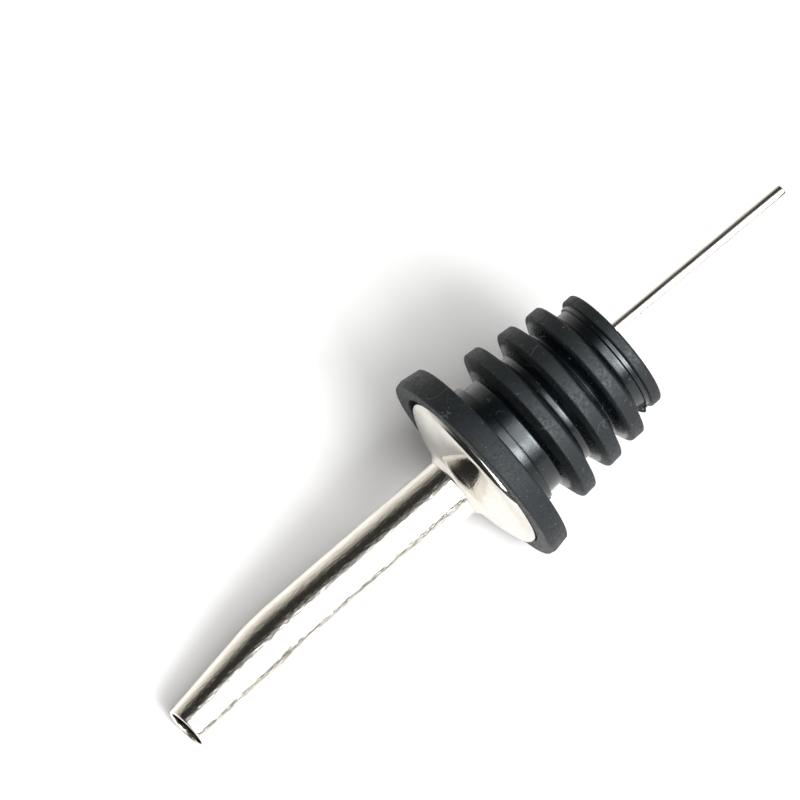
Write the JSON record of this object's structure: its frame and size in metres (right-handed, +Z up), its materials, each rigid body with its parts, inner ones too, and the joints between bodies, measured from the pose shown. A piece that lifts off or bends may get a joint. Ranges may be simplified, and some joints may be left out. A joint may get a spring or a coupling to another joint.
{
  "type": "liquor pour spout",
  "caption": "Bottle pourer: a ribbed rubber stopper with a wide flange, a domed metal collar, a tapered bent metal spout and a thin straight vent tube.",
  "frame": {"origin": "centre of the underside of the stopper's flange, on the stopper's axis, where the flange rests on the bottle's lip", "axes": "the pourer lies as it does on a table, on its flange rim and the tip of its spout; +Z is up; +Y runs level along the length from the spout's tip to the vent tube's tail; +X is level, to the side that the spout's end bends towards. The stopper's axis leans 15.44 degrees from level, spout end down."},
  "size_m": [0.0278, 0.0962, 0.0278],
  "materials": {
    "plated_tube": "polished",
    "polished_collar": "polished",
    "solder": "dull",
    "vent_steel": "bright",
    "black_rubber": "satin"
  },
  "bodies": {
    "metal_spout": {"spout_tube": "plated_tube", "collar": "polished_collar", "collar_solder": "solder", "vent_tube": "vent_steel", "vent_solder": "solder"},
    "rubber_stopper": {"stopper": "black_rubber"}
  },
  "joints": [
    {"name": "stopper_pull_off", "type": "slide", "parent": "metal_spout", "child": "rubber_stopper", "axis": [0, 0.9639, 0.2662], "range_m": [0, 0.053]}
  ]
}
